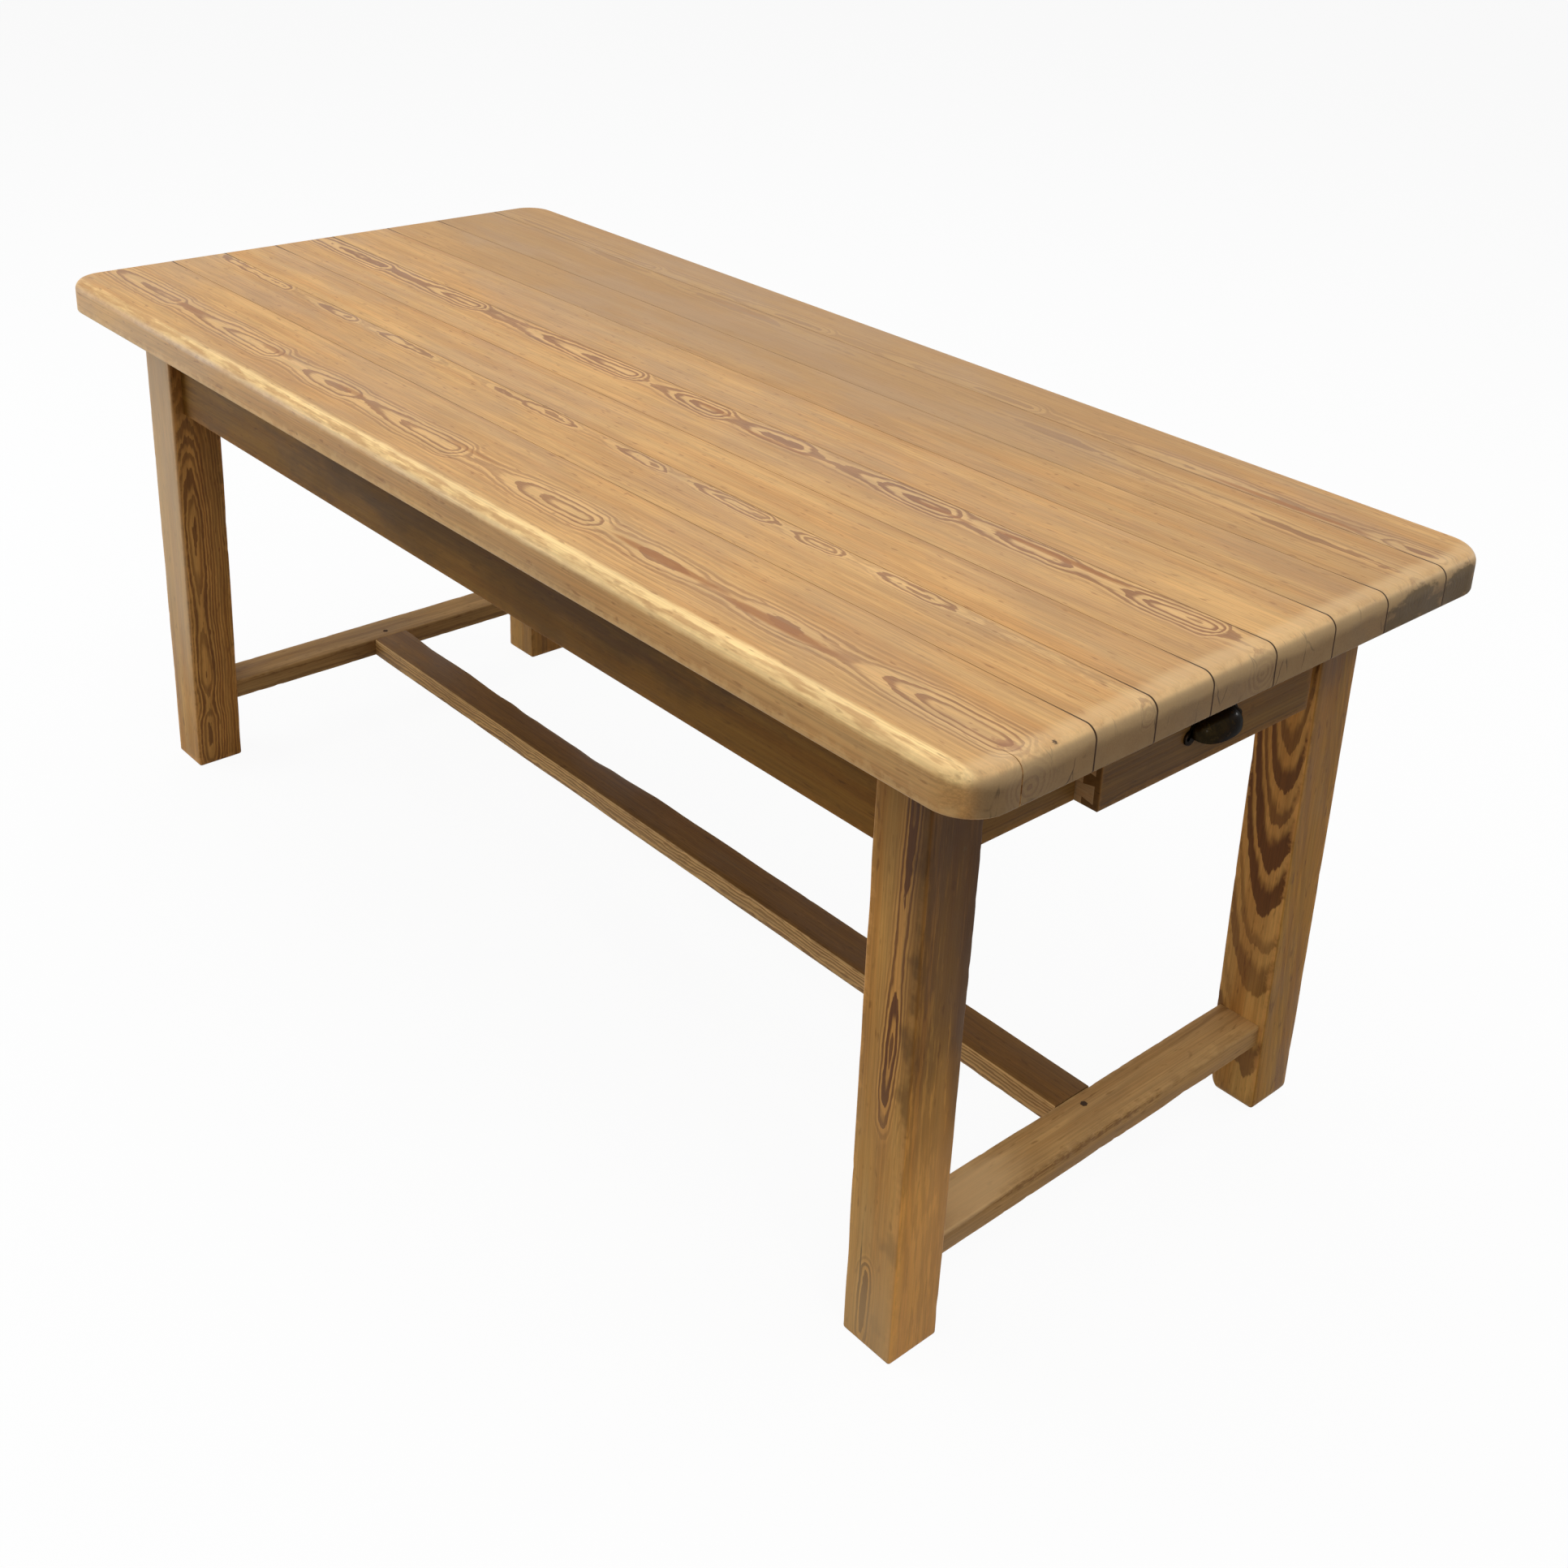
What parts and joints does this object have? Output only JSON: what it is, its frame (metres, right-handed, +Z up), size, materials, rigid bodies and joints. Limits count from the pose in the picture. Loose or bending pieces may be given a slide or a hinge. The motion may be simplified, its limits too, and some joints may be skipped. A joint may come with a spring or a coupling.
{
  "type": "farmhouse table",
  "caption": "Plank-topped pine farmhouse table on square legs, with mortised aprons, a foot-worn H-stretcher and an off-centre end drawer with a cup pull.",
  "frame": {"origin": "on the floor under the middle of the top", "axes": "X along the length with the drawer end at +X, Y across with the back long side at +Y, Z up"},
  "size_m": [1.84, 0.836, 0.77],
  "materials": {
    "top_pine": "stripped and waxed old pine, honey brown with reddish latewood",
    "frame_pine": "stripped and waxed old pine, worn at the arrises",
    "inner_pine": "unfinished pine, dry and paler",
    "dark_peg": "end grain darkened by wax and dirt",
    "pull_bronze": "dark bronze patina, rubbed brighter on the crown",
    "screw_steel": "dull aged steel"
  },
  "bodies": {
    "table": {"top_board_1": "top_pine", "top_board_2": "top_pine", "top_board_3": "top_pine", "top_board_4": "top_pine", "top_board_5": "top_pine", "top_board_6": "top_pine", "top_board_7": "top_pine", "top_board_8": "top_pine", "leg_front_left": "frame_pine", "leg_back_left": "frame_pine", "leg_front_right": "frame_pine", "leg_back_right": "frame_pine", "end_stretcher_left": "frame_pine", "end_stretcher_right": "frame_pine", "centre_stretcher": "frame_pine", "apron_front": "frame_pine", "apron_back": "frame_pine", "apron_left_end": "frame_pine", "apron_drawer_end": "frame_pine", "stretcher_pegs": "dark_peg", "top_batten_left": "inner_pine", "top_batten_right": "inner_pine", "batten_screws": "screw_steel", "top_buttons": "inner_pine", "button_screws": "screw_steel", "drawer_runner_front": "inner_pine", "drawer_runner_back": "inner_pine", "drawer_stop": "inner_pine", "runner_screws": "screw_steel"},
    "drawer": {"drawer_front": "frame_pine", "drawer_side_front": "inner_pine", "drawer_side_back": "inner_pine", "drawer_back": "inner_pine", "drawer_bottom": "inner_pine", "cup_pull": "pull_bronze", "cup_pull_screws": "screw_steel"}
  },
  "joints": [
    {"name": "drawer_slide", "type": "slide", "parent": "table", "child": "drawer", "axis": [1, 0, 0], "range_m": [-0.03, 0.27]}
  ]
}
